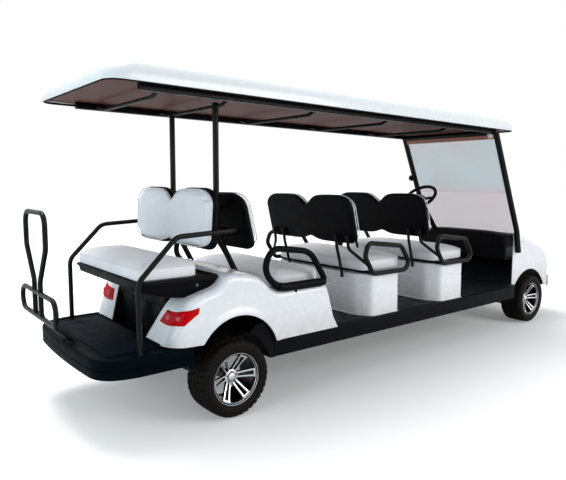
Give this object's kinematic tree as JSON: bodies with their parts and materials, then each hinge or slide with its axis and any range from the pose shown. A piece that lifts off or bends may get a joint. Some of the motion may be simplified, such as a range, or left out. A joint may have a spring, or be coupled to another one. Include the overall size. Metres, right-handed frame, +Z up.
{
  "type": "passenger golf cart",
  "caption": "Long open passenger cart with forward seat rows, a rear-facing seat over a footrest deck, a roof canopy on posts, a tilted windshield and steered front wheels.",
  "frame": {"origin": "on the ground below the middle of the whole length and width", "axes": "+X forward, +Y to the left side, +Z up"},
  "size_m": [5.06, 1.2488, 2.023],
  "materials": {
    "tyre": "matte ribbed road tyre",
    "wheel_metal": "machined faces on dark pockets",
    "body_white": "gloss white moulding",
    "black_plastic": "fine grained black moulding",
    "frame_metal": "satin black powder coat",
    "white_vinyl": "soft white vinyl",
    "roof_white": "gloss white shell",
    "roof_liner": "warm brown inner liner",
    "screen": "clear sheet",
    "lamp_clear": "clear lens",
    "lamp_red": "red lens",
    "steel": "plain axle steel",
    "spring_steel": "black leaf steel",
    "floor_mat": "ribbed rubber mat"
  },
  "bodies": {
    "frame": {"armrests_third": "black_plastic", "backrest_pad_front": "white_vinyl", "backrest_pad_middle": "white_vinyl", "backrest_pad_rear": "white_vinyl", "backrest_pad_third": "white_vinyl", "backrest_shell_front": "black_plastic", "backrest_shell_middle": "black_plastic", "backrest_shell_rear": "black_plastic", "backrest_shell_third": "black_plastic", "battery_pack": "black_plastic", "chassis_frame": "frame_metal", "cushion_front": "white_vinyl", "cushion_middle": "white_vinyl", "cushion_rear": "white_vinyl", "cushion_third": "white_vinyl", "dashboard": "black_plastic", "floor_panel": "floor_mat", "footrest_deck": "black_plastic", "footrest_grab_bar": "frame_metal", "front_axle": "steel", "front_bumper": "body_white", "front_cowl": "body_white", "front_struts": "frame_metal", "head_lights": "lamp_clear", "pedals": "black_plastic", "rear_axle": "steel", "rear_body": "body_white", "rear_grab_rails": "frame_metal", "rear_inner_panel": "black_plastic", "rear_seat_base": "black_plastic", "rear_struts": "frame_metal", "roof_liner": "roof_liner", "roof_panel": "roof_white", "roof_rails": "frame_metal", "seat_box_front": "body_white", "seat_box_middle": "body_white", "seat_frame_front": "frame_metal", "seat_frame_middle": "frame_metal", "side_sills": "black_plastic", "springs": "spring_steel", "steering_column": "black_plastic", "tail_lights": "lamp_red", "wheel_liners": "black_plastic", "windshield": "screen"},
    "wheel_front_left": {"tyre_front_left": "tyre", "rim_front_left": "wheel_metal"},
    "wheel_front_right": {"tyre_front_right": "tyre", "rim_front_right": "wheel_metal"},
    "wheel_rear_left": {"tyre_rear_left": "tyre", "rim_rear_left": "wheel_metal"},
    "wheel_rear_right": {"tyre_rear_right": "tyre", "rim_rear_right": "wheel_metal"},
    "knuckle_left": {"knuckle_left": "steel"},
    "knuckle_right": {"knuckle_right": "steel"},
    "tie_rod": {"tie_rod": "steel"},
    "steering_wheel": {"steering_wheel": "black_plastic"}
  },
  "joints": [
    {"name": "steer_left", "type": "hinge", "parent": "frame", "child": "knuckle_left", "pos_m": [2.092, 0.3, 0.2385], "axis": [0, 0, 1], "range_deg": [-30, 30]},
    {"name": "steer_right", "type": "hinge", "parent": "frame", "child": "knuckle_right", "pos_m": [2.092, -0.3, 0.2385], "axis": [0, 0, 1], "range_deg": [-30, 30]},
    {"name": "tie_rod_pivot", "type": "hinge", "parent": "knuckle_left", "child": "tie_rod", "pos_m": [1.977, 0.3, 0.171], "axis": [0, 0, 1], "range_deg": [-30, 30]},
    {"name": "steering_wheel_turn", "type": "hinge", "parent": "frame", "child": "steering_wheel", "pos_m": [1.357, 0.33, 1.262], "axis": [-0.6428, 0, 0.766], "range_deg": [-390, 390]},
    {"name": "spin_front_left", "type": "hinge", "parent": "knuckle_left", "child": "wheel_front_left", "pos_m": [2.092, 0.438, 0.2385], "axis": [0, 1, 0], "continuous": true},
    {"name": "spin_front_right", "type": "hinge", "parent": "knuckle_right", "child": "wheel_front_right", "pos_m": [2.092, -0.438, 0.2385], "axis": [0, 1, 0], "continuous": true},
    {"name": "spin_rear_left", "type": "hinge", "parent": "frame", "child": "wheel_rear_left", "pos_m": [-1.565, 0.517, 0.2385], "axis": [0, 1, 0], "continuous": true},
    {"name": "spin_rear_right", "type": "hinge", "parent": "frame", "child": "wheel_rear_right", "pos_m": [-1.565, -0.517, 0.2385], "axis": [0, 1, 0], "continuous": true}
  ],
  "couplings": [
    {"joint": "steer_right", "follows": "steer_left", "ratio": 1},
    {"joint": "tie_rod_pivot", "follows": "steer_left", "ratio": -1},
    {"joint": "steering_wheel_turn", "follows": "steer_left", "ratio": 13}
  ]
}
